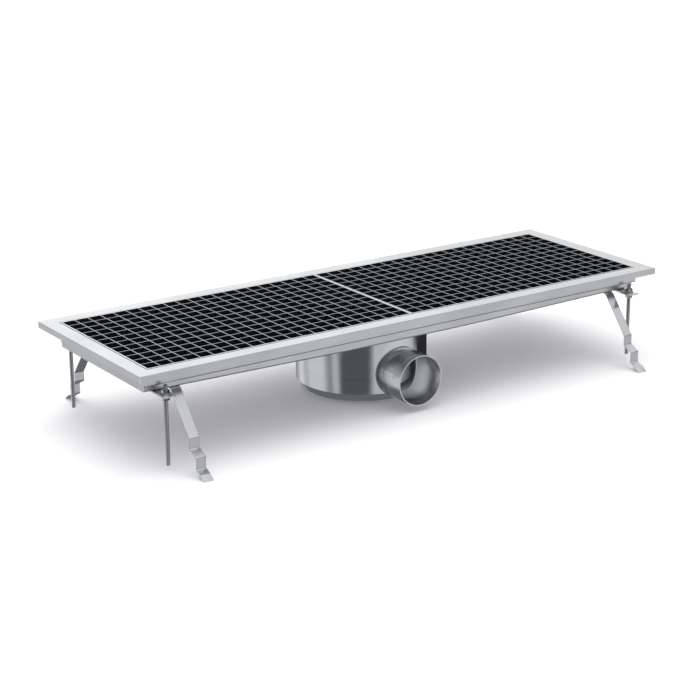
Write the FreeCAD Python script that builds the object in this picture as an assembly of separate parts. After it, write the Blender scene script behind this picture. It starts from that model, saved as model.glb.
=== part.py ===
import FreeCAD, Part
import math
import os

V = FreeCAD.Vector

# Stainless steel floor channel for a kitchen or wet-room floor, with two lift-out mesh gratings,
# a round sump with a side outlet, a lift-out basket and odour trap, and four adjustable legs.
# Lengths are in millimetres. X runs along the channel, -Y is the outlet side, Z is up from the
# floor that the anchors stand on. A depth is measured down from the top of the rim.

# Rim and channel sheet
standing_height = 190.0
rim_length = 1200.0
rim_width = 400.0
rim_corner_radius = 2.0
rim_edge_radius = 1.8
rim_inner_radius = 1.2
lip_height = 12.5
sheet = 2.0
flange_width = 30.0

# Stepped long sides: the ledge carries the gratings, the lower wall stands in from it
ledge_width = 12.0
wall_bend = 3.0
ledge_bend = 4.0
floor_bend = 4.0

# Floor of the channel: it falls from both ends to a flat landing round the sump
end_underside_depth = 45.5
landing_underside_depth = 52.0
landing_half_length = 140.0

# Mesh gratings
grating_height = 30.0
grating_side_gap = 1.5
grating_end_gap = 1.0
cells_along = 21
cells_across = 12
bar_thickness = 2.0
edge_bar_thickness = 3.0
cross_bar_height = 12.0

# Sump
sump_radius = 130.0
sump_wall = 2.0
sump_depth = 183.0
sump_bevel_height = 17.0
sump_bevel_inset = 12.0
sump_mouth_overhang = 4.0

# Outlet spigot
outlet_radius = 50.0
outlet_wall = 2.0
outlet_axis_depth = 126.5
outlet_reach = 198.0

# Odour trap: a funnel with a dip pipe stands on a ring in the sump, a cup hangs under it
ring_depth = 66.0
ring_width = 16.0
ring_thickness = 2.0
seal_width = 8.0
seal_height = 3.0
seal_inset = 7.0
funnel_clearance = 4.0
funnel_sheet = 2.0
dip_radius = 76.0
dip_length = 75.0
cup_radius = 98.0
cup_sheet = 1.5
cup_rim_below_funnel = 29.0
cup_height = 76.0
hanger_count = 3
hanger_width = 15.0
hanger_thickness = 2.0
hanger_overlap = 12.0

# Sediment basket
basket_rim_overlap = 4.0
basket_mouth_clearance = 3.0
basket_sheet = 1.5
basket_pipe_clearance = 6.0
basket_shoulder_drop = 8.0
basket_height = 70.0
side_slots = 12
side_slot_width = 8.0
side_slot_height = 34.0
side_slot_lift = 12.0
floor_slots = 5
floor_slot_width = 6.0
floor_slot_margin = 12.0
grip_width = 12.0
grip_thickness = 2.0
grip_rise = 20.0
grip_foot = 12.0
grip_bend = 8.0

# Legs: a tab under the channel, a threaded rod through it and a flange nut on each side
rod_end_inset = 57.0
rod_wall_gap = 12.0
rod_radius = 4.0
rod_length = 150.0
rod_top_depth = 29.0
rod_chamfer = 0.8
tab_width = 25.0
tab_thickness = 3.0
tab_overhang = 16.0
tab_weld_length = 35.0
tab_corner_radius = 1.5
tab_hole_clearance = 0.5
nut_thread_clearance = 0.05
nut_flats = 13.0
nut_height = 8.0
nut_flange_radius = 8.95
nut_flange_height = 1.5

# Anchors: bent flat strips that are cast into the floor
anchor_to_rod = 33.0
anchor_width = 20.0
anchor_thickness = 2.0
anchor_weld_length = 42.0
anchor_slant_reach = 62.0
anchor_wall_drop = 19.0
anchor_step_reach = 21.0
anchor_step_drop = 10.5
anchor_low_wall_drop = 21.5
anchor_low_step_reach = 14.0
anchor_low_step_drop = 6.0
anchor_foot_reach = 12.0
anchor_foot_drop = 9.5
anchor_foot_overrun = 1.5
anchor_bend = 3.5
anchor_top_bend = 12.0

# Working values for cuts that run past a face and for finding edges
overshoot = 10.0
close = 0.01

# Sizes that follow from the ones above
opening_half_length = rim_length / 2 - flange_width
opening_half_width = rim_width / 2 - flange_width
ledge_depth = grating_height
lower_half_width = opening_half_width - ledge_width
floor_fall = (landing_underside_depth - end_underside_depth) / (opening_half_length - landing_half_length)
landing_depth = landing_underside_depth - sheet
sump_inner_radius = sump_radius - sump_wall
mouth_radius = sump_inner_radius - sump_mouth_overhang
dip_inner_radius = dip_radius - funnel_sheet
funnel_depth = ring_depth - seal_height - funnel_sheet
rod_x = rim_length / 2 - rod_end_inset
rod_y = opening_half_width + sheet + rod_wall_gap
anchor_x = rod_x - anchor_to_rod


def height(depth):
    return standing_height - depth


def underside_depth(x):
    return end_underside_depth + (opening_half_length - abs(x)) * floor_fall


def rounded_wire(corners, place):
    """A closed wire through (u, v, radius) corners, laid into space by place(u, v)."""
    stretches = []
    for i, (u, v, radius) in enumerate(corners):
        here = V(u, v, 0)
        before = V(*corners[i - 1][:2], 0) - here
        after = V(*corners[(i + 1) % len(corners)][:2], 0) - here
        before.normalize()
        after.normalize()
        if radius == 0:
            stretches.append([here])
            continue
        half_angle = before.getAngle(after) / 2
        bisector = (before + after).normalize()
        centre = here + bisector * (radius / math.sin(half_angle))
        reach = radius / math.tan(half_angle)
        stretches.append([here + before * reach, centre - bisector * radius, here + after * reach])
    edges = []
    for i, stretch in enumerate(stretches):
        points = [place(p.x, p.y) for p in stretch]
        following = stretches[(i + 1) % len(stretches)][0]
        if len(points) == 3:
            edges.append(Part.Arc(*points).toShape())
        edges.append(Part.LineSegment(points[-1], place(following.x, following.y)).toShape())
    return Part.Wire(edges)


def bent_sheet(path, thickness):
    """Corners of a bent sheet: one face follows the (u, v, radius) path, the other lies to its left.

    A radius of 0 is a sharp fold on both faces.
    """
    points = [V(u, v, 0) for u, v, _ in path]
    runs = [(b - a).normalize() for a, b in zip(points, points[1:])]
    lefts = [V(-run.y, run.x, 0) for run in runs]
    far_side = [(*(points[0] + lefts[0] * thickness)[:2], 0)]
    for i in range(1, len(points) - 1):
        shared = lefts[i - 1] + lefts[i]
        corner = points[i] + shared * (thickness / (1 + lefts[i - 1].dot(lefts[i])))
        turns_left = runs[i - 1].cross(runs[i]).z > 0
        radius = path[i][2] - thickness if turns_left else path[i][2] + thickness
        far_side.append((corner.x, corner.y, radius if path[i][2] else 0))
    far_side.append((*(points[-1] + lefts[-1] * thickness)[:2], 0))
    near_side = [(u, v, radius if 0 < i < len(path) - 1 else 0) for i, (u, v, radius) in enumerate(path)]
    return near_side + far_side[::-1]


def across(u, depth):
    """Places a section drawn in (Y, depth) on the plane X = 0."""
    return V(0, u, height(depth))


def radial(radius, depth):
    """Places a section drawn in (radius, depth) on the half plane Y = 0."""
    return V(radius, 0, height(depth))


def turned(corners):
    """A solid of revolution about Z from a section drawn in (radius, depth)."""
    face = Part.Face(rounded_wire(corners, radial))
    return face.revolve(V(0, 0, 0), V(0, 0, 1), 360)


def along_x(corners, start, length):
    """A prism along X from a section drawn in (Y, depth)."""
    face = Part.Face(rounded_wire(corners, across))
    face.translate(V(start, 0, 0))
    return face.extrude(V(length, 0, 0))


def centred_box(length, width, top_depth, bottom_depth):
    corner = V(-length / 2, -width / 2, height(bottom_depth))
    return Part.makeBox(length, width, bottom_depth - top_depth, corner)


def edges_where(shape, test):
    return [e for e in shape.Edges if test(e.BoundBox)]


def channel_section(inset, top_depth, bottom_depth, floor_radius):
    """Closed outline of the stepped channel in (Y, depth), inset from its outside face."""
    upper = opening_half_width + sheet - inset
    lower = lower_half_width + sheet - inset
    ledge = ledge_depth + sheet - inset
    half = [
        (upper, top_depth, 0),
        (upper, ledge, wall_bend - inset),
        (lower, ledge, ledge_bend + inset),
        (lower, bottom_depth, floor_radius),
    ]
    return half + [(-u, v, r) for u, v, r in reversed(half)]


def channel_block(inset, top_depth):
    """The channel's outside (inset 0) or its hollow (inset one sheet) as a solid block."""
    length = 2 * opening_half_length
    deep = landing_underside_depth + overshoot
    block = along_x(channel_section(inset, top_depth, deep, 0), -opening_half_length, length)
    low = [
        V(-opening_half_length, 0, height(end_underside_depth - inset)),
        V(-landing_half_length, 0, height(landing_underside_depth - inset)),
        V(landing_half_length, 0, height(landing_underside_depth - inset)),
        V(opening_half_length, 0, height(end_underside_depth - inset)),
    ]
    roof = [V(opening_half_length, 0, height(top_depth)), V(-opening_half_length, 0, height(top_depth))]
    fall = Part.Face(Part.makePolygon(low + roof + low[:1]))
    fall.translate(V(0, -rim_width / 2, 0))
    block = block.common(fall.extrude(V(0, rim_width, 0)))
    lower = lower_half_width + sheet - inset
    highest_floor = height(end_underside_depth - inset)

    def long_floor_edge(box):
        on_wall = abs(abs(box.Center.y) - lower) < close and box.YLength < close
        return on_wall and box.ZMax < highest_floor + close and box.XLength > close

    return block.makeFillet(floor_bend - inset, edges_where(block, long_floor_edge))


def rim():
    """The pressed rim: a flat flange with its outer edge turned down all round."""
    slab = centred_box(rim_length, rim_width, 0, lip_height)
    vertical = edges_where(slab, lambda box: box.ZLength > lip_height / 2)
    slab = slab.makeFillet(rim_corner_radius, vertical)
    top = edges_where(slab, lambda box: box.ZMin > height(0) - close)
    slab = slab.makeFillet(rim_edge_radius, top)
    under = centred_box(rim_length - 2 * sheet, rim_width - 2 * sheet, sheet, lip_height + overshoot)
    hole = centred_box(2 * opening_half_length, 2 * opening_half_width, -overshoot, lip_height + overshoot)
    return slab.cut(under).cut(hole)


def channel():
    body = rim().fuse(channel_block(0, 0)).cut(channel_block(sheet, -overshoot))
    below = V(0, 0, height(landing_underside_depth + overshoot))
    mouth = Part.makeCylinder(mouth_radius, 2 * overshoot, below)
    body = body.cut(mouth).removeSplitter()

    def inner_top_edge(box):
        inside_x = abs(box.Center.x) < opening_half_length + close
        inside_y = abs(box.Center.y) < opening_half_width + close
        return inside_x and inside_y and box.ZMin > height(0) - close

    return body.makeFillet(rim_inner_radius, edges_where(body, inner_top_edge))


def end_plate(side):
    """Flat plate welded over one end of the channel, cut to the channel's outline."""
    outline = channel_section(0, sheet, end_underside_depth, floor_bend)
    start = opening_half_length if side > 0 else -opening_half_length - sheet
    return along_x(outline, start, sheet)


def grating(side):
    """Press-locked mesh: full-height bars across, shallow bars along, edged all round."""
    length = opening_half_length - 1.5 * grating_end_gap
    width = 2 * (opening_half_width - grating_side_gap)
    pitch_x = (length - edge_bar_thickness) / cells_along
    pitch_y = (width - edge_bar_thickness) / cells_across
    bars = []
    for i in range(cells_along + 1):
        thick = edge_bar_thickness if i in (0, cells_along) else bar_thickness
        x = edge_bar_thickness / 2 + i * pitch_x - thick / 2
        bars.append(Part.makeBox(thick, width, grating_height, V(x, -width / 2, height(grating_height))))
    for j in range(cells_across + 1):
        edge = j in (0, cells_across)
        thick = edge_bar_thickness if edge else bar_thickness
        tall = grating_height if edge else cross_bar_height
        y = -width / 2 + edge_bar_thickness / 2 + j * pitch_y - thick / 2
        bars.append(Part.makeBox(length, thick, tall, V(0, y, height(tall))))
    mesh = bars[0].multiFuse(bars[1:]).removeSplitter()
    mesh.translate(V(grating_end_gap / 2 if side > 0 else -grating_end_gap / 2 - length, 0, 0))
    return mesh


def sump_path():
    """Outside of the sump in (radius, depth), from the middle of its floor to its top edge."""
    return [
        (0, sump_depth, 0),
        (sump_radius - sump_bevel_inset, sump_depth, 0),
        (sump_radius, sump_depth - sump_bevel_height, 0),
        (sump_radius, landing_underside_depth, 0),
    ]


def outlet_cylinder(radius, start, end):
    return Part.makeCylinder(radius, end - start, V(0, -end, height(outlet_axis_depth)), V(0, 1, 0))


def sump():
    path = [(u, -v, r) for u, v, r in sump_path()]
    section = [(u, -v, r) for u, v, r in bent_sheet(path, sump_wall)]
    bore = outlet_cylinder(outlet_radius - outlet_wall, 0, outlet_reach)
    return turned(section).cut(bore)


def outlet_spigot():
    """Tube with its inner end cut to the sump's outside, welded there."""
    outline = sump_path() + [(0, landing_underside_depth, 0)]
    tube = outlet_cylinder(outlet_radius, 0, outlet_reach)
    tube = tube.cut(outlet_cylinder(outlet_radius - outlet_wall, -overshoot, outlet_reach + overshoot))
    return tube.cut(turned(outline))


def trap_seat_ring():
    inner = sump_inner_radius - ring_width
    outer = sump_inner_radius
    bottom = ring_depth + ring_thickness
    return turned([(inner, ring_depth, 0), (outer, ring_depth, 0), (outer, bottom, 0), (inner, bottom, 0)])


def trap_seal():
    outer = sump_inner_radius - seal_inset
    inner = outer - seal_width
    top = ring_depth - seal_height
    return turned([(inner, top, 0), (outer, top, 0), (outer, ring_depth, 0), (inner, ring_depth, 0)])


def trap_funnel():
    """Flat collar on the seal with the dip pipe welded into it."""
    path = [
        (sump_inner_radius - funnel_clearance, -funnel_depth, 0),
        (dip_inner_radius, -funnel_depth, 0),
        (dip_inner_radius, -funnel_depth - dip_length, 0),
    ]
    section = [(u, -v, r) for u, v, r in bent_sheet(path, funnel_sheet)]
    return turned(section)


def trap_cup():
    """Cup round the dip pipe's end, hung from the collar by straps."""
    rim_depth = funnel_depth + cup_rim_below_funnel
    bottom = rim_depth + cup_height
    path = [
        (0, -bottom, 0),
        (cup_radius, -bottom, 0),
        (cup_radius, -rim_depth, 0),
    ]
    cup = turned([(u, -v, r) for u, v, r in bent_sheet(path, cup_sheet)])
    top = funnel_depth + funnel_sheet
    bottom_end = rim_depth + hanger_overlap
    for i in range(hanger_count):
        corner = V(cup_radius - cup_sheet, -hanger_width / 2, height(bottom_end))
        strap = Part.makeBox(hanger_thickness, hanger_width, bottom_end - top, corner)
        strap.rotate(V(0, 0, 0), V(0, 0, 1), 90 + i * 360 / hanger_count)
        cup = cup.fuse(strap)
    return cup.removeSplitter()


def bucket_radius():
    return dip_inner_radius - basket_pipe_clearance


def bucket_floor_depth():
    return landing_depth + basket_height


def sediment_basket():
    """Spun basket: a rim on the channel floor, a shoulder and a slotted bucket in the dip pipe."""
    rim_depth = landing_depth
    shoulder = rim_depth + basket_shoulder_drop
    bucket = bucket_radius()
    path = [
        (0, -bucket_floor_depth(), 0),
        (bucket, -bucket_floor_depth(), 0),
        (bucket, -shoulder, 0),
        (mouth_radius - basket_mouth_clearance, -rim_depth, 0),
        (mouth_radius + basket_rim_overlap, -rim_depth, 0),
    ]
    body = turned([(u, -v, r) for u, v, r in bent_sheet(path, basket_sheet)])
    slot_start = V(bucket / 2, -side_slot_width / 2, height(bucket_floor_depth() - side_slot_lift))
    for i in range(side_slots):
        slot = Part.makeBox(bucket, side_slot_width, side_slot_height, slot_start)
        slot.rotate(V(0, 0, 0), V(0, 0, 1), (i + 0.5) * 360 / side_slots)
        body = body.cut(slot)
    pitch = 2 * bucket / (floor_slots + 2)
    for i in range(floor_slots):
        y = (i - (floor_slots - 1) / 2) * pitch
        half = math.sqrt((bucket - floor_slot_margin) ** 2 - y * y)
        corner = V(-half, y - floor_slot_width / 2, height(bucket_floor_depth() + overshoot / 2))
        body = body.cut(Part.makeBox(2 * half, floor_slot_width, overshoot, corner))
    return body


def basket_grip():
    """Flat strip bent into a handle across the bucket, its feet on the bucket's wall."""
    reach = math.sqrt((bucket_radius() - basket_sheet) ** 2 - (grip_width / 2) ** 2)
    top = landing_depth + basket_shoulder_drop - grip_rise
    foot = landing_depth + basket_shoulder_drop + grip_foot
    path = [(-reach, -foot, 0), (-reach, -top, grip_bend), (reach, -top, grip_bend), (reach, -foot, 0)]
    corners = bent_sheet([(-u, v, r) for u, v, r in path], grip_thickness)
    wire = rounded_wire([(u, -v, r) for u, v, r in corners], radial)
    strip = Part.Face(wire)
    strip.translate(V(0, -grip_width / 2, 0))
    return strip.extrude(V(0, grip_width, 0))


def tab_depth():
    """Top of the tab: the channel's underside at the tab's inner edge."""
    return underside_depth(rod_x - tab_width / 2)


def tab():
    start = lower_half_width + sheet - tab_weld_length
    end = rod_y + tab_overhang
    corner = V(rod_x - tab_width / 2, start, height(tab_depth() + tab_thickness))
    plate = Part.makeBox(tab_width, end - start, tab_thickness, corner)
    front = edges_where(plate, lambda box: box.ZLength > tab_thickness / 2 and box.YMin > end - close)
    plate = plate.makeFillet(tab_corner_radius, front)
    below = V(rod_x, rod_y, height(tab_depth() + overshoot))
    return plate.cut(Part.makeCylinder(rod_radius + tab_hole_clearance, 2 * overshoot, below))


def levelling_rod():
    bottom = V(rod_x, rod_y, height(rod_top_depth + rod_length))
    rod = Part.makeCylinder(rod_radius, rod_length, bottom)
    return rod.makeChamfer(rod_chamfer, edges_where(rod, lambda box: box.ZLength < close))


def flange_nut(seat_height, direction):
    """Hexagon flange nut on the rod: its flange on the tab, its hexagon pointing away."""
    corner_radius = nut_flats / 2 / math.cos(math.pi / 6)
    points = [V(corner_radius * math.cos(a), corner_radius * math.sin(a), 0)
              for a in [math.radians(60 * i + 30) for i in range(7)]]
    hexagon = Part.Face(Part.makePolygon(points)).extrude(V(0, 0, nut_height))
    nut = hexagon.fuse(Part.makeCylinder(nut_flange_radius, nut_flange_height))
    nut = nut.cut(Part.makeCylinder(rod_radius + nut_thread_clearance, nut_height)).removeSplitter()
    if direction < 0:
        nut.rotate(V(0, 0, 0), V(1, 0, 0), 180)
    nut.translate(V(rod_x, rod_y, seat_height))
    return nut


def anchor():
    """Flat strip welded under the channel, bent outward and down to a foot cut level with the ground."""
    seat = underside_depth(anchor_x - anchor_width / 2)
    wall = lower_half_width + sheet
    drops = (anchor_wall_drop + anchor_step_drop + anchor_low_wall_drop
             + anchor_low_step_drop + anchor_foot_drop)
    runs = [
        (anchor_slant_reach, standing_height - seat - drops),
        (0, anchor_wall_drop),
        (anchor_step_reach, anchor_step_drop),
        (0, anchor_low_wall_drop),
        (anchor_low_step_reach, anchor_low_step_drop),
        (anchor_foot_reach * anchor_foot_overrun, anchor_foot_drop * anchor_foot_overrun),
    ]
    path = [(wall - anchor_weld_length, seat, 0), (wall, seat, anchor_top_bend)]
    for out, down in runs:
        path.append((path[-1][0] + out, path[-1][1] + down, anchor_bend))
    strip = along_x(bent_sheet(path, anchor_thickness), anchor_x - anchor_width / 2, anchor_width)
    above_ground = Part.makeBox(rim_length, rim_width, standing_height)
    return strip.common(above_ground)


def mirrored(shape, side_x, side_y):
    """A corner's piece, made for +X +Y, carried to the corner named by the two signs."""
    if side_x < 0:
        shape = shape.mirror(V(0, 0, 0), V(1, 0, 0))
    if side_y < 0:
        shape = shape.mirror(V(0, 0, 0), V(0, 1, 0))
    return shape


def legs():
    top_seat = height(tab_depth())
    bottom_seat = top_seat - tab_thickness
    parts = {
        "bracket_tab": tab(),
        "levelling_rod": levelling_rod(),
        "upper_nut": flange_nut(top_seat, 1),
        "lower_nut": flange_nut(bottom_seat, -1),
        "anchor": anchor(),
    }
    corners = {"near_left": (-1, -1), "near_right": (1, -1), "far_left": (-1, 1), "far_right": (1, 1)}
    return {f"{piece}_{corner}": mirrored(shape, *signs)
            for corner, signs in corners.items() for piece, shape in parts.items()}


def nodes():
    return {
        "channel": channel(),
        "left_end_plate": end_plate(-1),
        "right_end_plate": end_plate(1),
        "left_grating": grating(-1),
        "right_grating": grating(1),
        "sump": sump(),
        "outlet_spigot": outlet_spigot(),
        "trap_seat_ring": trap_seat_ring(),
        "trap_seal": trap_seal(),
        "trap_funnel": trap_funnel(),
        "trap_cup": trap_cup(),
        "sediment_basket": sediment_basket(),
        "basket_grip": basket_grip(),
        **legs(),
    }


os.makedirs("parts", exist_ok=True)
for name, shape in nodes().items():
    shape.exportStep(f"parts/{name}.step")
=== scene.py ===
import math

import bpy
from mathutils import Matrix, Vector


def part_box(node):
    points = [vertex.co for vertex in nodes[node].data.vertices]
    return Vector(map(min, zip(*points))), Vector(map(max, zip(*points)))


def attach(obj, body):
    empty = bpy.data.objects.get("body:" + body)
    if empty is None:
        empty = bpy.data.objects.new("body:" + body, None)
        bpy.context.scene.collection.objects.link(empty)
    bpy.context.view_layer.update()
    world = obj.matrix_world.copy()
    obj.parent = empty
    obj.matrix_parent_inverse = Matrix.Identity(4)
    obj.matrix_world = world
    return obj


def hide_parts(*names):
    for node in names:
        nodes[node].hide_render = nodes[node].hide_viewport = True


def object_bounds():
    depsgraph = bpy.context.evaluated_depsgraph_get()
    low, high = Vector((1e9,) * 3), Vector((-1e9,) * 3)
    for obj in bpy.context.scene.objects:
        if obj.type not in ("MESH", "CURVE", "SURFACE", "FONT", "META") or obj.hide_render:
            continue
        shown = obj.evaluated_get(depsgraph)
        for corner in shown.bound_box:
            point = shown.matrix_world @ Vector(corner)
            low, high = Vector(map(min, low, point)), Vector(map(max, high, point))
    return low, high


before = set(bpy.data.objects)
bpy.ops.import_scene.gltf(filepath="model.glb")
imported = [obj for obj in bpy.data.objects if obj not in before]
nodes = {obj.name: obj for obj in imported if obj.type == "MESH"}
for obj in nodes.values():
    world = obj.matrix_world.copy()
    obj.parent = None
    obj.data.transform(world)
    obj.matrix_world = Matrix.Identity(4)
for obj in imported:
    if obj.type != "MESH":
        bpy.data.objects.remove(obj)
cad_low, cad_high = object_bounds()

MM = 0.001
# Each corner and its side of the drain along Y
CORNERS = {"near_left": -1, "near_right": -1, "far_left": 1, "far_right": 1}

# Half sizes of the space between the channel's walls, and where its lower walls stand
INSIDE_HALF_LENGTH = 570.1 * MM
INSIDE_HALF_WIDTH = 170.1 * MM
LOWER_WALL_Y = 160 * MM


# Shader nodes

WHITE = (1.0, 1.0, 1.0, 1.0)
COOL = (0.985, 0.995, 1.01)
NEUTRAL = (1.0, 0.997, 0.993)
POLISHED = (0.975, 0.992, 1.022)
WARM = (1.0, 0.93, 0.82)
# the bluish tint of the painted shade deep in the gratings' cells
CELL_SHADE_TINT = (0.76, 0.97, 1.18)


class Tree:
    """Short calls for building a node tree."""

    def __init__(self, tree):
        self.tree = tree

    def node(self, kind, **settings):
        made = self.tree.nodes.new(kind)
        for key, value in settings.items():
            setattr(made, key, value)
        return made

    def put(self, value, socket):
        if hasattr(value, "is_linked"):
            self.tree.links.new(value, socket)
        else:
            socket.default_value = value

    def parts(self, vector):
        """The X, Y and Z of a vector."""
        made = self.node("ShaderNodeSeparateXYZ")
        self.put(vector, made.inputs[0])
        return made.outputs["X"], made.outputs["Y"], made.outputs["Z"]

    def place(self):
        return self.parts(self.node("ShaderNodeNewGeometry").outputs["Position"])

    def normal(self):
        return self.parts(self.node("ShaderNodeNewGeometry").outputs["Normal"])

    def noise(self, scale, detail, roughness=0.55):
        """Noise on the object's own coordinates, with scale as its cells per metre on each axis."""
        mapping = self.node("ShaderNodeMapping")
        self.put(self.node("ShaderNodeTexCoord").outputs["Object"], mapping.inputs["Vector"])
        self.put(scale, mapping.inputs["Scale"])
        made = self.node("ShaderNodeTexNoise")
        self.put(mapping.outputs["Vector"], made.inputs["Vector"])
        for key, value in (("Scale", 1.0), ("Detail", detail), ("Roughness", roughness)):
            self.put(value, made.inputs[key])
        return made.outputs["Fac"]

    def math(self, operation, a, b=0.0):
        made = self.node("ShaderNodeMath", operation=operation)
        self.put(a, made.inputs[0])
        self.put(b, made.inputs[1])
        return made.outputs[0]

    def times(self, a, b):
        return self.math("MULTIPLY", a, b)

    def spread(self, value, low, high, out_low, out_high, curve="LINEAR"):
        """value moved from the range low..high to out_low..out_high, and held there."""
        made = self.node("ShaderNodeMapRange", interpolation_type=curve, clamp=True)
        for key, item in (("Value", value), ("From Min", low), ("From Max", high),
                          ("To Min", out_low), ("To Max", out_high)):
            self.put(item, made.inputs[key])
        return made.outputs["Result"]

    def smooth(self, value, low, high, out_low, out_high):
        """The same with soft ends."""
        return self.spread(value, low, high, out_low, out_high, "SMOOTHSTEP")

    def blend(self, factor, a, b):
        """A number between a and b."""
        made = self.node("ShaderNodeMix", data_type="FLOAT")
        self.put(factor, made.inputs[0])
        self.put(a, made.inputs[2])
        self.put(b, made.inputs[3])
        return made.outputs[0]

    def mix(self, factor, a, b):
        """A colour between a and b."""
        made = self.node("ShaderNodeMix", data_type="RGBA")
        self.put(factor, made.inputs["Factor"])
        self.put(a, made.inputs[6])
        self.put(b, made.inputs[7])
        return made.outputs[2]

    def grey(self, value, tint=(1.0, 1.0, 1.0)):
        made = self.node("ShaderNodeCombineColor")
        for key, share in zip(("Red", "Green", "Blue"), tint):
            self.put(self.times(value, share), made.inputs[key])
        return made.outputs["Color"]


# Looks

class Look(Tree):
    """A material of one surface shader, with the calls for building its tree."""

    def __init__(self, name, shader_kind="ShaderNodeBsdfPrincipled"):
        self.material = bpy.data.materials.new(name)
        self.material.use_nodes = True
        super().__init__(self.material.node_tree)
        self.tree.nodes.clear()
        self.shader = self.node(shader_kind)
        out = self.node("ShaderNodeOutputMaterial")
        self.put(self.shader.outputs[0], out.inputs["Surface"])

    def set(self, key, value):
        self.put(value, self.shader.inputs[key])


class Steel(Look):
    """Stainless steel with fine lines along the grain, soft smudges and uneven gloss.

    grain is the number of noise cells per metre along X, Y and Z: few along the lines and many across.
    """

    LINE_HEIGHT = 0.2 * MM
    LINE_GLOSS = 0.02
    SMUDGE_CELLS = (7.0, 7.0, 9.0)
    CLOUD_CELLS = (31.0, 37.0, 33.0)
    AXIS_REACH = 10 * MM

    def __init__(self, name, tone, roughness, grain, dirt=0.05, grain_depth=0.04, bump=0.12):
        super().__init__(name)
        lines = self.noise(grain, 2.0)
        smudge = self.noise(self.SMUDGE_CELLS, 4.0)
        cloud = self.noise(self.CLOUD_CELLS, 5.0, 0.65)
        self.tone = self.spread(lines, 0.3, 0.7, tone * (1 - grain_depth), tone * (1 + grain_depth))
        self.tone = self.times(self.tone, self.spread(smudge, 0.3, 0.7, 1 - dirt, 1 + dirt * 0.4))
        self.tone = self.times(self.tone, self.spread(cloud, 0.25, 0.7, 1 - dirt * 0.6, 1.0))
        self.gloss = self.math("ADD", self.spread(smudge, 0.3, 0.7, roughness * 1.12, roughness * 0.9),
                               self.spread(lines, 0.3, 0.7, -self.LINE_GLOSS, self.LINE_GLOSS))
        rise = self.node("ShaderNodeBump")
        self.put(bump, rise.inputs["Strength"])
        self.put(self.LINE_HEIGHT, rise.inputs["Distance"])
        self.put(lines, rise.inputs["Height"])
        self.set("Normal", rise.outputs["Normal"])
        self.set("Base Color", self.grey(self.tone, COOL))
        self.set("Roughness", self.gloss)
        self.set("Metallic", 1.0)

    def facing_axis(self, scale, shift):
        """1 where a face looks towards the axis, and 0 elsewhere.

        scale and shift turn a point's place into its way out from the axis.
        """
        out = self.node("ShaderNodeVectorMath", operation="MULTIPLY_ADD")
        geometry = self.node("ShaderNodeNewGeometry")
        for item, socket in zip((geometry.outputs["Position"], scale, shift), out.inputs):
            self.put(item, socket)
        reach = self.node("ShaderNodeVectorMath", operation="DOT_PRODUCT")
        self.put(out.outputs[0], reach.inputs[0])
        self.put(geometry.outputs["Normal"], reach.inputs[1])
        return self.math("LESS_THAN", reach.outputs["Value"], -self.AXIS_REACH)

    def dull_inside(self, inside, roughness, metallic):
        self.set("Roughness", self.blend(inside, self.gloss, roughness))
        self.set("Metallic", self.blend(inside, 1.0, metallic))


def end_plate_look():
    return Steel("stainless_end_look", 0.78, 0.38, (420.0, 3.0, 420.0), grain_depth=0.03).material


def inner_look():
    """The trap's parts: dull from use."""
    look = Steel("stainless_inner_look", 0.66, 0.50, (9.0, 9.0, 420.0), dirt=0.08)
    look.set("Metallic", 0.4)
    return look.material


def nut_look():
    return Steel("nut_look", 0.80, 0.22, (300.0, 300.0, 40.0), dirt=0.1).material


def mesh_look():
    """Mesh bars: bright on top, most of all on the edge frames, with painted shade on their sides and lower
    parts for the shade deep in the cells.
    """
    frame_bar = 3.1 * MM
    inner_bar_top_share = 0.60
    cell_shade_share = 0.11
    look = Steel("stainless_mesh_look", 0.78, 0.34, (60.0, 60.0, 500.0), dirt=0.08)
    x, y, z = look.place()
    facing_up = look.spread(look.normal()[2], 0.35, 0.8, 0.0, 1.0)
    near_top = look.spread(z, cad_high.z - 12 * MM, cad_high.z - 2 * MM, 0.0, 1.0)
    low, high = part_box("right_grating")
    out_x, out_y = look.math("ABSOLUTE", x), look.math("ABSOLUTE", y)
    edge = look.math("MAXIMUM", look.math("GREATER_THAN", out_y, high.y - frame_bar),
                     look.math("GREATER_THAN", out_x, high.x - frame_bar))
    edge = look.math("MAXIMUM", edge, look.math("LESS_THAN", out_x, low.x + frame_bar))
    # painted shade: only faces looking up near the top keep the bright tone, and the bars' sides and lower
    # parts get a dark bluish tone
    lit_top = look.times(look.times(facing_up, near_top), look.spread(edge, 0.0, 1.0, inner_bar_top_share, 1.0))
    cell_shade = look.grey(look.times(look.tone, cell_shade_share), CELL_SHADE_TINT)
    look.set("Base Color", look.mix(lit_top, cell_shade, look.grey(look.tone, NEUTRAL)))
    look.set("Roughness", look.spread(lit_top, 0.0, 1.0, 0.62, 0.3))
    return look.material


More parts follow.
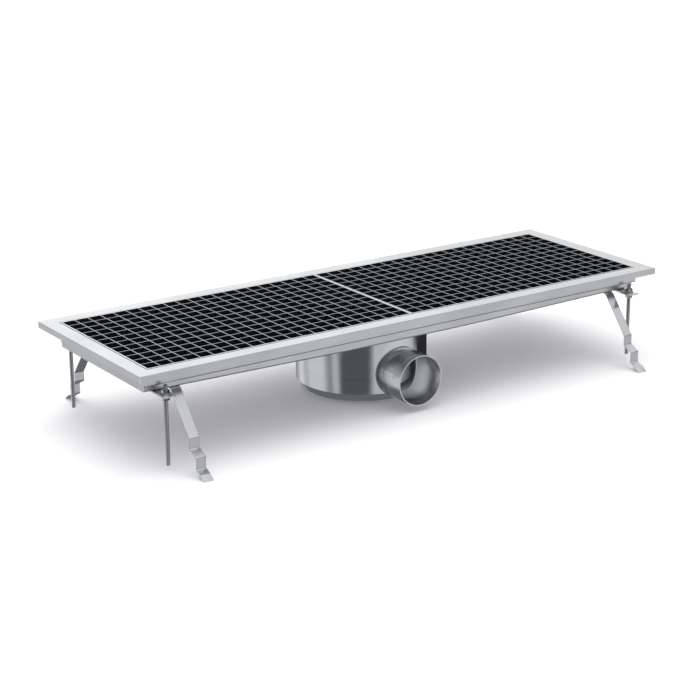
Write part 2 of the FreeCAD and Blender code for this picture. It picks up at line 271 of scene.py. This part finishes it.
def channel_look():
    """The rim and channel: clean outside, with painted shade where the channel's floor lies under the
    gratings.
    """
    hidden_shade_share = 0.12
    ground_metallic = 0.66
    look = Steel("stainless_channel_look", 0.80, 0.36, (3.0, 420.0, 420.0), grain_depth=0.03)
    x, y, z = look.place()
    normal_x, normal_y, normal_z = look.normal()
    within_x = look.math("LESS_THAN", look.math("ABSOLUTE", x), INSIDE_HALF_LENGTH)
    within_y = look.math("LESS_THAN", look.math("ABSOLUTE", y), INSIDE_HALF_WIDTH)
    deep = look.spread(z, cad_high.z - 10 * MM, cad_high.z - 2 * MM, 1.0, 0.0)
    up = look.spread(normal_z, 0.2, 0.6, 0.0, 1.0)
    outward = look.times(normal_y, look.math("SIGN", y))
    facing_in = look.math("MAXIMUM", look.math("LESS_THAN", outward, -0.3), up)
    # painted shade: the channel's inside under the gratings is darkened
    shaded_inside = look.times(look.times(within_x, within_y), look.times(deep, facing_in))
    tone = look.times(look.tone, look.spread(shaded_inside, 0.0, 1.0, 1.0, hidden_shade_share))
    # painted reflection tint: the faces looking up are neutral and the upright faces cool
    look.set("Base Color", look.mix(up, look.grey(tone, COOL), look.grey(tone, NEUTRAL)))
    # the rim's upright corners are ground after welding, so they are duller than the sheet
    turned = look.math("ABSOLUTE", look.times(normal_x, normal_y))
    look.set("Metallic", look.spread(turned, 0.05, 0.2, 1.0, ground_metallic))
    return look.material


def strip_look():
    """Bent flat strip: the upright faces are painted darker than the slanted ones, as shade."""
    upright_shade_share = 0.76
    look = Steel("stainless_strip_look", 0.82, 0.19, (520.0, 9.0, 9.0), grain_depth=0.03, bump=0.03)
    upright = look.math("ABSOLUTE", look.normal()[1])
    # painted shade: the upright faces are darkened and the slanted ones keep their tone
    tone = look.times(look.tone, look.spread(upright, 0.93, 0.99, 1.0, upright_shade_share))
    look.set("Base Color", look.grey(tone, COOL))
    return look.material


def sump_look():
    """Sump: polished outside, dull inside."""
    look = Steel("stainless_sump_look", 0.78, 0.13, (4.0, 4.0, 620.0), dirt=0.03, bump=0.04)
    look.set("Base Color", look.grey(look.tone, POLISHED))
    # the shift down counts the sump's floor as inside too
    inside = look.facing_axis((1.0, 1.0, 0.0), (0.0, 0.0, -50 * MM))
    look.dull_inside(inside, 0.5, 0.4)
    return look.material


def tube_look():
    """Outlet tube: polished outside, satin with painted shade inside."""
    inside_shade_share = 0.7
    look = Steel("stainless_tube_look", 0.74, 0.17, (6.0, 620.0, 6.0), bump=0.04)
    low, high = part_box("outlet_spigot")
    inside = look.facing_axis((1.0, 0.0, 1.0), (0.0, 0.0, -(low.z + high.z) / 2))
    # painted shade: the tube's inside is darkened
    tone = look.times(look.tone, look.spread(inside, 0.0, 1.0, 1.0, inside_shade_share))
    look.set("Base Color", look.grey(tone, POLISHED))
    look.dull_inside(inside, 0.26, 1.0)
    return look.material


def thread_look():
    """Rolled thread: dull crests, darker towards the roots."""
    root_dark_radius, full_tone_radius = 3.5 * MM, 3.9 * MM
    look = Steel("threaded_steel_look", 0.88, 0.33, (90.0, 90.0, 300.0), dirt=0.12)
    x, y, _ = look.parts(look.node("ShaderNodeTexCoord").outputs["Object"])
    radius = look.math("SQRT", look.math("ADD", look.times(x, x), look.times(y, y)))
    # the tone falls towards the thread roots
    root_darkening = look.spread(radius, root_dark_radius, full_tone_radius, 0.55, 1.0)
    look.set("Base Color", look.grey(look.times(look.tone, root_darkening), COOL))
    return look.material


def weld_look():
    """Bright bead with patches of straw heat tint."""
    look = Steel("weld_look", 0.66, 0.3, (500.0, 500.0, 500.0), dirt=0.1)
    heat = look.spread(look.noise((90.0, 90.0, 90.0), 2.0), 0.4, 0.65, 0.0, 0.5)
    look.set("Base Color", look.mix(heat, look.grey(look.tone, COOL), look.grey(look.tone, WARM)))
    return look.material


def rubber_look():
    look = Look("seal_rubber_look")
    dust = look.noise((160.0, 160.0, 160.0), 4.0)
    look.set("Base Color", look.grey(look.spread(dust, 0.3, 0.7, 0.02, 0.04)))
    look.set("Roughness", look.spread(dust, 0.3, 0.7, 0.6, 0.75))
    return look.material


nut_steel = nut_look()
thread_steel = thread_look()
weld_steel = weld_look()


def dress_nodes():
    """Gives each CAD node its look, by the start of its name."""
    plate, inner, mesh, strip = end_plate_look(), inner_look(), mesh_look(), strip_look()
    looks = {
        "channel": channel_look(),
        "left_end_plate": plate,
        "right_end_plate": plate,
        "left_grating": mesh,
        "right_grating": mesh,
        "sump": sump_look(),
        "outlet_spigot": tube_look(),
        "trap_seat_ring": inner,
        "trap_seal": rubber_look(),
        "trap_funnel": inner,
        "trap_cup": inner,
        "sediment_basket": inner,
        "basket_grip": inner,
        "anchor": strip,
        "bracket_tab": strip,
        "levelling_rod": nut_steel,
        "upper_nut": nut_steel,
        "lower_nut": nut_steel,
    }
    for name, node in nodes.items():
        start = next(start for start in looks if name.startswith(start))
        node.data.materials.clear()
        node.data.materials.append(looks[start])


def join_points(piece):
    """Makes one point of those that lie on each other."""
    piece.modifiers.new("join", "WELD").merge_threshold = 0.001 * MM


def soften(name, width, segments=2):
    """Rounds a CAD node's sharp edges a little, so that they catch light as real sheet does."""
    join_points(nodes[name])
    bevel = nodes[name].modifiers.new("edge", "BEVEL")
    bevel.width = width
    bevel.segments = segments
    bevel.limit_method = "ANGLE"
    bevel.angle_limit = math.radians(30.0)


dress_nodes()
# the sump's polished side mirrors the studio and not the tube
nodes["outlet_spigot"].visible_glossy = False
soften("outlet_spigot", 0.4 * MM)
soften("sump", 0.9 * MM, 3)
for corner in CORNERS:
    soften(f"anchor_{corner}", 0.3 * MM)
    soften(f"bracket_tab_{corner}", 0.3 * MM)


# Meshes made here

def make_object(name, vertices, faces, material, smooth_angle=35.0):
    mesh = bpy.data.meshes.new(name)
    mesh.from_pydata(vertices, [], faces)
    mesh.validate()
    mesh.materials.append(material)
    mesh.shade_smooth()
    mesh.set_sharp_from_angle(angle=math.radians(smooth_angle))
    made = bpy.data.objects.new(name, mesh)
    bpy.context.scene.collection.objects.link(made)
    return made


def ring_faces(rings, count):
    """Quads between neighbouring rings of count points each."""
    faces = []
    for k in range(rings - 1):
        for i in range(count):
            j = (i + 1) % count
            faces.append((k * count + i, k * count + j, (k + 1) * count + j, (k + 1) * count + i))
    return faces


def circle_points(count):
    """Cosine and sine of count even steps round a circle."""
    return [(math.cos(2 * math.pi * i / count), math.sin(2 * math.pi * i / count)) for i in range(count)]


# Levelling rods
PITCH = 1.25 * MM
CREST = 3.97 * MM
ROOT = 3.45 * MM
# The thread's form over one pitch, as (share of the pitch, radius)
THREAD = [(0.0, ROOT), (0.13, ROOT), (0.45, CREST), (0.68, CREST)]
# Points in a turn, and the turns that the band winds past the rod's ends
THREAD_POINTS = 28
SPARE_TURNS = 3
# The ends are chamfered: their radius, and how fast it grows with the way from the end
ROD_END_RADIUS = 2.9 * MM
ROD_END_SLOPE = 1.1


def thread_rod(name, length):
    """A right-hand thread from z = 0 to length, with chamfered ends.

    One band of faces winds round the rod. It starts and stops past the ends, where it is cut off flat.
    """
    row = len(THREAD)
    total = (int(length / PITCH) + SPARE_TURNS) * THREAD_POINTS
    circle = circle_points(THREAD_POINTS)
    vertices = []
    for i in range(total + 1):
        across, along = circle[i % THREAD_POINTS]
        for share, thread_radius in THREAD:
            z = min(max((i / THREAD_POINTS + share - 1) * PITCH, 0.0), length)
            r = min(thread_radius, ROD_END_RADIUS + min(z, length - z) * ROD_END_SLOPE)
            vertices.append((r * across, r * along, z))
    faces = []
    for i in range(total):
        for j in range(row - 1):
            a, b = i * row + j, (i + 1) * row + j
            faces.append((a, b, b + 1, a + 1))
        if i + 1 + THREAD_POINTS <= total:
            a, b = (i + 1) * row - 1, (i + 2) * row - 1
            faces.append((a, b, (i + 1 + THREAD_POINTS) * row, (i + THREAD_POINTS) * row))
    for z in (0.0, length):
        cap = list(range(len(vertices), len(vertices) + THREAD_POINTS))
        vertices += [(ROD_END_RADIUS * across, ROD_END_RADIUS * along, z) for across, along in circle]
        faces.append(tuple(cap if z > 0 else reversed(cap)))
    made = make_object(name, vertices, faces, thread_steel, 25.0)
    join_points(made)
    return made


# Flange nuts
NUT_POINTS = 72
NUT_HALF_FLATS = 6.5 * MM
NUT_HEIGHT = 8.0 * MM
NUT_BORE = 4.02 * MM
NUT_BEVEL = 0.5 * MM
NUT_TOP_RADIUS = 6.3 * MM
FLANGE_RADIUS = 8.9 * MM
FLANGE_EDGE = 1.2 * MM
FLANGE_SLOPE = 0.45
CHAMFER_START = 6.35 * MM
CHAMFER_SLOPE = 0.58


def flange_nut(name, direction):
    """Hexagon flange nut with its flange on z = 0, its corners and bore chamfered."""

    def hexagon(angle):
        turn = (math.degrees(angle) + 30) % 60 - 30
        return NUT_HALF_FLATS / math.cos(math.radians(turn))

    def cone_height(r):
        return FLANGE_EDGE + (FLANGE_RADIUS - r) * FLANGE_SLOPE

    def chamfer_height(r):
        return NUT_HEIGHT - max(0.0, r - CHAMFER_START) * CHAMFER_SLOPE

    def ring(radius_of, height_of):
        points = []
        for i in range(NUT_POINTS):
            angle = 2 * math.pi * i / NUT_POINTS
            r = radius_of(angle)
            points.append((r * math.cos(angle), r * math.sin(angle), direction * height_of(r)))
        return points

    def level_ring(radius, height):
        return ring(lambda angle: radius, lambda r: height)

    rings = [
        level_ring(NUT_BORE, NUT_BEVEL),
        level_ring(NUT_BORE + NUT_BEVEL, 0.02 * MM),
        level_ring(FLANGE_RADIUS - 0.5 * MM, 0.02 * MM),
        level_ring(FLANGE_RADIUS - 0.12 * MM, 0.12 * MM),
        level_ring(FLANGE_RADIUS, 0.4 * MM),
        level_ring(FLANGE_RADIUS, 1.0 * MM),
        level_ring(FLANGE_RADIUS - 0.25 * MM, 1.3 * MM),
        ring(lambda angle: hexagon(angle) + 0.15 * MM, cone_height),
        ring(hexagon, lambda r: cone_height(r) + 0.2 * MM),
        ring(hexagon, chamfer_height),
        level_ring(NUT_TOP_RADIUS, NUT_HEIGHT),
        level_ring(NUT_BORE + NUT_BEVEL, NUT_HEIGHT),
        level_ring(NUT_BORE, NUT_HEIGHT - NUT_BEVEL),
    ]
    faces = ring_faces(len(rings), NUT_POINTS)
    top = (len(rings) - 1) * NUT_POINTS
    for i in range(NUT_POINTS):
        j = (i + 1) % NUT_POINTS
        faces.append((top + i, top + j, j, i))
    if direction < 0:
        faces = [tuple(reversed(face)) for face in faces]
    return make_object(name, [point for points in rings for point in points], faces, nut_steel, 32.0)


def seat(piece, node, bottom=True):
    """Puts a piece made from z = 0 in the place of a node, on its bottom or hung from its top."""
    low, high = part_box(node)
    piece.location = ((low.x + high.x) / 2, (low.y + high.y) / 2, low.z if bottom else high.z)
    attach(piece, node)
    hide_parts(node)


def add_leg(corner):
    low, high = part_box(f"levelling_rod_{corner}")
    rod = thread_rod(f"threaded_rod_{corner}", high.z - low.z)
    seat(rod, f"levelling_rod_{corner}")
    for place, direction in (("upper", 1), ("lower", -1)):
        nut = flange_nut(f"flange_nut_{place}_{corner}", direction)
        seat(nut, f"{place}_nut_{corner}", direction > 0)


for corner in CORNERS:
    add_leg(corner)


# Weld beads
BEAD_SIDES = 8
BEAD_STEP = 0.5 * MM
BEAD_HEIGHT = 0.75
RIPPLE_LENGTH = 1.6 * MM
# Shares of the bead's size
RIPPLE, SLOW_RIPPLE, FAST_RIPPLE = 0.16, 0.10, 0.06
# Radians per metre
SLOW_TURN, FAST_TURN = 61.0, 173.0
# An open bead starts and ends at this share of its size, and gains this much at each point
END_SHARE, END_GROWTH = 0.35, 0.2
# How far the round beads' middle stands off the sheet
STAND_OFF = 0.2 * MM
# The short beads: where they start from the piece's inner end, and how far out and down they lie
WELD_START = 3 * MM
WELD_OUT = 0.1 * MM
WELD_DOWN = 0.3 * MM


def bead_size(size, travelled):
    """The bead's size at a distance along it: even ripples that swell and shrink unevenly."""
    ripple = 1.0 + RIPPLE * math.cos(travelled / RIPPLE_LENGTH * 2 * math.pi)
    slow = SLOW_RIPPLE * math.sin(travelled * SLOW_TURN)
    fast = FAST_RIPPLE * math.sin(travelled * FAST_TURN + 1.0)
    return size * ripple * (1.0 + slow + fast)


def bead(name, path, normals, size, closed=False):
    """A weld bead along the path: a low rippled ridge in the corner that it fills."""
    count = len(path)
    circle = circle_points(BEAD_SIDES)
    vertices = []
    travelled = 0.0
    for i, point in enumerate(path):
        ahead = path[(i + 1) % count] if closed or i < count - 1 else point
        behind = path[i - 1] if closed or i > 0 else point
        along = (ahead - behind).normalized()
        side = along.cross(normals[i].normalized()).normalized()
        up = side.cross(along).normalized()
        travelled += (point - path[i - 1]).length if i else 0.0
        end = 1.0 if closed else min(1.0, END_SHARE + min(i, count - 1 - i) * END_GROWTH)
        r = bead_size(size, travelled) * end
        vertices += [point + side * (r * across) + up * (r * BEAD_HEIGHT * rise) for across, rise in circle]
    faces = []
    for i in range(count if closed else count - 1):
        j = (i + 1) % count
        for k in range(BEAD_SIDES):
            m = (k + 1) % BEAD_SIDES
            faces.append((i * BEAD_SIDES + k, i * BEAD_SIDES + m, j * BEAD_SIDES + m, j * BEAD_SIDES + k))
    if not closed:
        faces.append(tuple(range(BEAD_SIDES - 1, -1, -1)))
        faces.append(tuple(range((count - 1) * BEAD_SIDES, count * BEAD_SIDES)))
    made = make_object(name, [tuple(vertex) for vertex in vertices], faces, weld_steel, 60.0)
    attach(made, "drain_body")


def stretch(start, end):
    """Points from start to end, about a step apart."""
    count = int((end - start).length / BEAD_STEP)
    return [start.lerp(end, i / count) for i in range(count + 1)]


_, sump_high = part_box("sump")
tube_low, tube_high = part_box("outlet_spigot")
sump_radius, tube_radius = sump_high.x, tube_high.x
tube_axis = (tube_low.z + tube_high.z) / 2


def weld_sump_top():
    """Round the sump's top edge, under the channel."""
    outs = [Vector((across, along, 0.0)) for across, along in circle_points(1400)]
    edge = Vector((0.0, 0.0, sump_high.z - STAND_OFF))
    path = [out * (sump_radius + STAND_OFF) + edge for out in outs]
    normals = [out - Vector((0.0, 0.0, 1.0)) for out in outs]
    bead("weld_sump_top", path, normals, 1.3 * MM, closed=True)


def weld_outlet_saddle():
    """Along the saddle between the outlet tube and the sump."""
    path, normals = [], []
    for across, rise in circle_points(760):
        x, z = across * (tube_radius + STAND_OFF), rise * (tube_radius + STAND_OFF)
        y = -math.sqrt((sump_radius + STAND_OFF) ** 2 - x * x)
        path.append(Vector((x, y, tube_axis + z)))
        normals.append(Vector((across, -1.0, rise)))
    bead("weld_outlet_saddle", path, normals, 0.4 * MM, closed=True)


def weld_sides(piece, name, corner, wall_gap):
    """Short beads along both sides of a tab or anchor under the channel, to wall_gap before its wall."""
    low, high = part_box(f"{piece}_{corner}")
    side_y = CORNERS[corner]
    start_y = side_y * (min(abs(low.y), abs(high.y)) + WELD_START)
    stop_y = side_y * (LOWER_WALL_Y - wall_gap)
    z = high.z - WELD_DOWN
    for x, out, letter in ((low.x, -1, "a"), (high.x, 1, "b")):
        path = stretch(Vector((x + out * WELD_OUT, start_y, z)), Vector((x + out * WELD_OUT, stop_y, z)))
        bead(f"{name}_{corner}_{letter}", path, [Vector((out, 0, -0.8))] * len(path), 1.0 * MM)


weld_sump_top()
weld_outlet_saddle()
for corner in CORNERS:
    weld_sides("bracket_tab", "weld_tab", corner, 5 * MM)
    weld_sides("anchor", "weld_anchor", corner, 12 * MM)


# Camera

CAMERA_PLACE = Vector((-1.9995, -2.8619, 1.2091))
CAMERA_RIGHT = Vector((0.8225, -0.5687, -0.0045))
CAMERA_LOOK = Vector((0.5397, 0.7829, -0.3095))


def add_camera():
    look = CAMERA_LOOK.normalized()
    up = CAMERA_RIGHT.normalized().cross(look).normalized()
    right = look.cross(up).normalized()
    data = bpy.data.cameras.new("photo_camera")
    data.lens = 95.1
    data.sensor_width = 36.0
    data.sensor_fit = "AUTO"
    data.clip_start = 0.05
    data.clip_end = 100.0
    camera = bpy.data.objects.new("photo_camera", data)
    turn = Matrix((right, up, -look)).transposed()
    camera.matrix_world = Matrix.Translation(CAMERA_PLACE) @ turn.to_4x4()
    bpy.context.scene.collection.objects.link(camera)
    bpy.context.scene.camera = camera


add_camera()


# Floor

FLOOR_REACH = 30.0


def add_floor():
    """A white floor that takes the shadow and isn't met by reflections."""
    look = Look("studio_floor_look", "ShaderNodeBsdfDiffuse")
    look.set("Color", WHITE)
    corners = [(x * FLOOR_REACH, y * FLOOR_REACH, 0.0) for x, y in ((-1, -1), (1, -1), (1, 1), (-1, 1))]
    floor = make_object("studio_floor", corners, [(0, 1, 2, 3)], look.material)
    floor.visible_glossy = False


add_floor()


# Studio

# Soft boxes low round the part, met by reflections alone. Each has its start and end azimuth, the
# softness of the start and of the end, all in degrees, and its brightness.
SOFT_BOXES = [
    (52, 86, 8, 5, 0.30),
    (86, 172, 5, 5, 0.49),
    (95, 114, 5, 5, 0.24),
    (129, 168, 6, 6, 0.16),
    (172, 199, 3, 3, 0.26),
    (184, 195, 3, 3, 0.24),
    (199, 254, 4, 4, 0.07),
    (254, 335, 7, 9, 0.54),
    (288, 322, 14, 12, 0.14),
]
UNLIT = 0.025
FLOOR_GLOW = 0.15
BACK_WINDOW = 1.34
UPPER_DIM = 0.16
REFLECTED_TINT = (0.985, 1.0, 1.02)

# A height is the upward share of a ray's direction, and each pair is a gradual change between two levels
GLOW_TO_BOXES = (-0.62, -0.42)
BOXES_TO_UPPER = (0.08, 0.22)
UPPER_TO_CEILING = (0.42, 0.60)
# The window's edges, in degrees of azimuth
WINDOW_START = (5.0, 25.0)
WINDOW_END = (100.0, 118.0)

# What lights the floor, by height: the horizon, the band above it, the next one and the top
HORIZON_GLOW, LOW_GLOW, HIGH_GLOW, OVERHEAD = 2.35, 0.3, 1.10, 2.25
HORIZON_TO_LOW = (0.30, 0.40)
LOW_TO_HIGH = (0.60, 0.70)
HIGH_TO_OVERHEAD = (0.84, 0.92)
HORIZON_TINT = (0.98, 0.966, 1.053, 1.0)


def soft_boxes(tree, azimuth):
    total = UNLIT
    for start, end, start_soft, end_soft, level in SOFT_BOXES:
        rise = tree.smooth(azimuth, start - start_soft, start + start_soft, 0.0, level)
        fall = tree.smooth(azimuth, end - end_soft, end + end_soft, 1.0, 0.0)
        total = tree.math("ADD", tree.times(rise, fall), total)
    return total


def reflected_studio(tree, x, y, z):
    """What the steel mirrors: low soft boxes, a bright window behind the part and a pale ceiling."""
    turn = tree.math("DIVIDE", tree.math("ARCTAN2", y, x), 2 * math.pi)
    azimuth = tree.times(tree.math("FRACT", tree.math("ADD", turn, 1.0)), 360.0)
    low = tree.blend(tree.smooth(z, *GLOW_TO_BOXES, 1.0, 0.0), soft_boxes(tree, azimuth), FLOOR_GLOW)
    behind = tree.times(tree.smooth(azimuth, *WINDOW_START, 0.0, 1.0),
                        tree.smooth(azimuth, *WINDOW_END, 1.0, 0.0))
    window = tree.times(tree.spread(x, 0.35, 0.75, 1.07, 0.66), BACK_WINDOW)
    upper = tree.blend(behind, UPPER_DIM, window)
    ceiling = tree.spread(x, -0.6, 0.6, 0.95, 0.72)
    level = tree.blend(tree.smooth(z, *BOXES_TO_UPPER, 0.0, 1.0), low, upper)
    return tree.blend(tree.smooth(z, *UPPER_TO_CEILING, 0.0, 1.0), level, ceiling)


def soft_light(tree, z):
    """What lights the floor: a soft box overhead and a glow all round the horizon."""
    level = tree.blend(tree.smooth(z, *HORIZON_TO_LOW, 0.0, 1.0), HORIZON_GLOW, LOW_GLOW)
    level = tree.blend(tree.smooth(z, *LOW_TO_HIGH, 0.0, 1.0), level, HIGH_GLOW)
    level = tree.blend(tree.smooth(z, *HIGH_TO_OVERHEAD, 0.0, 1.0), level, OVERHEAD)
    tinted = tree.node("ShaderNodeVectorMath", operation="SCALE")
    tint = tree.mix(tree.smooth(z, *HORIZON_TO_LOW, 1.0, 0.0), WHITE, HORIZON_TINT)
    tree.put(tint, tinted.inputs[0])
    tree.put(level, tinted.inputs["Scale"])
    return tinted.outputs[0]


def backdrop(tree, colour):
    made = tree.node("ShaderNodeBackground")
    tree.put(colour, made.inputs["Color"])
    return made.outputs[0]


def choose(tree, factor, other, chosen):
    """The chosen shader where the factor is 1, and the other elsewhere."""
    made = tree.node("ShaderNodeMixShader")
    for item, socket in zip((factor, other, chosen), made.inputs):
        tree.put(item, socket)
    return made.outputs[0]


def add_studio():
    """The camera sees white, the steel mirrors the studio, and a soft light falls on the floor."""
    world = bpy.data.worlds.new("studio")
    bpy.context.scene.world = world
    world.use_nodes = True
    world.cycles.sampling_method = "NONE"
    world.node_tree.nodes.clear()
    tree = Tree(world.node_tree)
    x, y, z = tree.parts(tree.node("ShaderNodeTexCoord").outputs["Generated"])
    path = tree.node("ShaderNodeLightPath")
    mirrored = backdrop(tree, tree.grey(reflected_studio(tree, x, y, z), REFLECTED_TINT))
    light = choose(tree, path.outputs["Is Glossy Ray"], backdrop(tree, soft_light(tree, z)), mirrored)
    seen = choose(tree, path.outputs["Is Camera Ray"], light, backdrop(tree, WHITE))
    tree.put(seen, tree.node("ShaderNodeOutputWorld").inputs["Surface"])


def add_outlet_glow():
    """A soft glow from the outlet's mouth into the sump, so that the tube isn't a black hole."""
    inset = 8 * MM
    data = bpy.data.lights.new("outlet_glow", "AREA")
    data.shape = "DISK"
    data.size = 90 * MM
    data.energy = 0.021
    lamp = bpy.data.objects.new("outlet_glow", data)
    lamp.location = (0.0, inset - sump_radius, tube_axis)
    lamp.rotation_euler = Vector((0.0, 1.0, 0.0)).to_track_quat("-Z", "Y").to_euler()
    lamp.visible_camera = False
    bpy.context.scene.collection.objects.link(lamp)


add_studio()
add_outlet_glow()
bpy.context.scene.view_settings.view_transform = "Standard"
